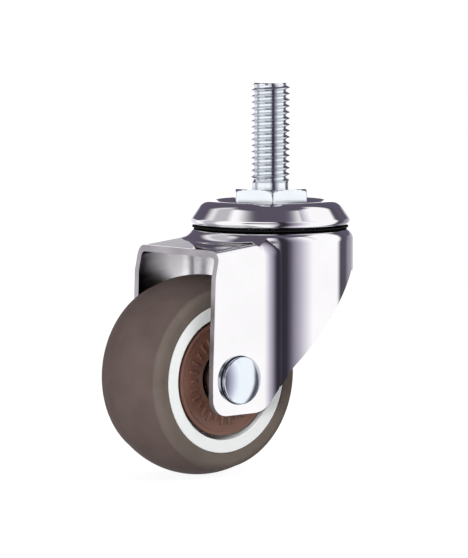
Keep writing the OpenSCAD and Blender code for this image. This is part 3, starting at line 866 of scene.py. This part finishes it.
# Each stop of the walls is an azimuth in degrees, a brightness and how violet it is
walls = [(-180, 1.0, 0), (-150, 1.0, 0), (-134, 0.97, 0.03), (-126, 0.75, 0.04), (-121, 0.40, 0.06),
         (-117, 0.06, 0.2), (-114, 0.03, 0.25), (-108, 0.035, 0.25), (-103, 0.10, 0.2), (-97, 0.27, 0.15),
         (-88, 0.5, 0.1), (-78, 0.8, 0.05), (-70, 1.0, 0), (-26, 1.0, 0), (-18, 0.08, 0.2), (-4, 0.09, 0.2),
         (4, 0.26, 0.12), (14, 0.32, 0.08), (28, 0.5, 0.06), (38, 1.0, 0), (62, 1.0, 0), (70, 0.7, 0.05),
         (92, 0.7, 0.05), (102, 1.0, 0), (112, 0.9, 0), (120, 0.5, 0.05), (138, 0.5, 0.05), (148, 1.0, 0),
         (180, 1.0, 0)]
# The dark wall on the right leans away from the camera
lean = 0.5
right = sky.times(sky.rising(azimuth, -66, -60),
                  sky.math("SUBTRACT", lean, sky.times(sky.rising(azimuth, 44, 50), lean)))
around = sky.math("SUBTRACT", azimuth, sky.times(sky.math("MAXIMUM", height, 0.0), right))
ring = sky.ramp(sky.math("DIVIDE", sky.math("ADD", around, 180), 360), [
    ((angle + 180) / 360, (value, value * (1 - violet * 0.5), value * (1 + violet)))
    for angle, value, violet in walls])
# The ceiling is dark, and so are the room above the background's edge and a low card left of the camera
ceiling = sky.rising(height, 54, 64)
room = sky.times(sky.rising(height, 8, 14),
                 sky.times(sky.rising(azimuth, 2, 12), sky.falling(azimuth, 97, 116)))
from_left = sky.math("ABSOLUTE", sky.math("ADD", azimuth, 146))
card = sky.times(sky.times(sky.rising(height, 3, 9), sky.falling(height, 26, 40)),
                 sky.falling(from_left, 18, 32))
dark = sky.math("MAXIMUM", sky.times(card, 0.9), sky.math("MAXIMUM", room, ceiling))
mix = sky.add("ShaderNodeMix", data_type="RGBA", B=(0.098, 0.084, 0.120, 1))
sky.link(dark, mix.inputs["Factor"])
sky.link(ring, mix.inputs["A"])
studio = sky.add("ShaderNodeEmission", Strength=1.55)
sky.link(mix.outputs["Result"], studio.inputs["Color"])
# What isn't polished sees a dim room with a soft light overhead, which gives the shadow on the floor
fill = sky.add("ShaderNodeEmission")
overhead, all_round = 0.45, 0.13
sky.link(sky.math("MULTIPLY_ADD", sky.rising(height, 20, 60), overhead, all_round), fill.inputs["Strength"])
paths = sky.add("ShaderNodeLightPath").outputs
seen = sky.either(paths["Is Camera Ray"], sky.either(paths["Is Glossy Ray"], fill, studio),
                  sky.add("ShaderNodeEmission", Strength=1.0))
sky.link(seen.outputs[0], sky.add("ShaderNodeOutputWorld").inputs["Surface"])


# The floor: matt, with a glow of its own that only the camera sees, so that it joins the white background
floor_half, floor_gap = 3.0, 0.0002
floor_level = (axle_z - wheel_r) * MM - floor_gap
floor_mesh = bpy.data.meshes.new("floor")
floor_mesh.from_pydata([(x * floor_half, y * floor_half, floor_level)
                        for x, y in ((-1, -1), (1, -1), (1, 1), (-1, 1))], [], [(0, 1, 2, 3)])
floor = bpy.data.objects.new("floor", floor_mesh)
bpy.context.scene.collection.objects.link(floor)
floor.visible_glossy = False
paint = bpy.data.materials.new("floor_paint")
paint.use_nodes = True
floor_mesh.materials.append(paint)
ground = Tree(paint.node_tree)
ground.tree.nodes.clear()
matt = ground.add("ShaderNodeBsdfDiffuse", Color=(0.6, 0.6, 0.6, 1))
glow = ground.add("ShaderNodeEmission", Strength=1.515)
glow_share = ground.times(ground.add("ShaderNodeLightPath").outputs["Is Camera Ray"], 0.6)
ground.link(ground.either(glow_share, matt, glow).outputs[0],
            ground.add("ShaderNodeOutputMaterial").inputs["Surface"])


# The lamps, which no reflection shows
def lamp(name, place, target, size, watts):
    data = bpy.data.lights.new(name, "AREA")
    data.shape = "RECTANGLE"
    data.size, data.size_y = size
    data.energy = watts
    obj = bpy.data.objects.new(name, data)
    bpy.context.scene.collection.objects.link(obj)
    obj.location = place
    obj.rotation_mode = "QUATERNION"
    obj.rotation_quaternion = (Vector(target) - Vector(place)).to_track_quat("-Z", "Y")
    obj.visible_glossy = False
    obj.visible_camera = False


lamp("key", (-0.75, -0.25, 0.35), (-0.01, 0, -0.03), size=(0.5, 0.5), watts=0.4)
lamp("side", (0.42, -0.6, 0.36), (-0.01, 0, -0.03), size=(0.35, 0.35), watts=2.6)
lamp("tread", (-0.52, -0.28, -0.03), (-0.03, 0, -0.036), size=(0.2, 0.28), watts=4.9)


# The camera, fitted to the photograph
view_azimuth, view_elevation = math.radians(-40.215), math.radians(5.06)
focal_pixels, picture_pixels, sensor_width = 3000, 558, 36
back = Vector((math.sin(view_azimuth) * math.cos(view_elevation),
               -math.cos(view_azimuth) * math.cos(view_elevation), math.sin(view_elevation)))
camera = bpy.data.cameras.new("camera")
camera.lens, camera.sensor_width = focal_pixels * sensor_width / picture_pixels, sensor_width
camera.clip_start, camera.clip_end = 0.01, 20
cam = bpy.data.objects.new("camera", camera)
bpy.context.scene.collection.objects.link(cam)
cam.location = (-0.39799, -0.45933, 0.03527)
cam.rotation_mode = "QUATERNION"
cam.rotation_quaternion = (-back).to_track_quat("-Z", "Y")
bpy.context.scene.camera = cam
bpy.context.scene.view_settings.view_transform = "Standard"
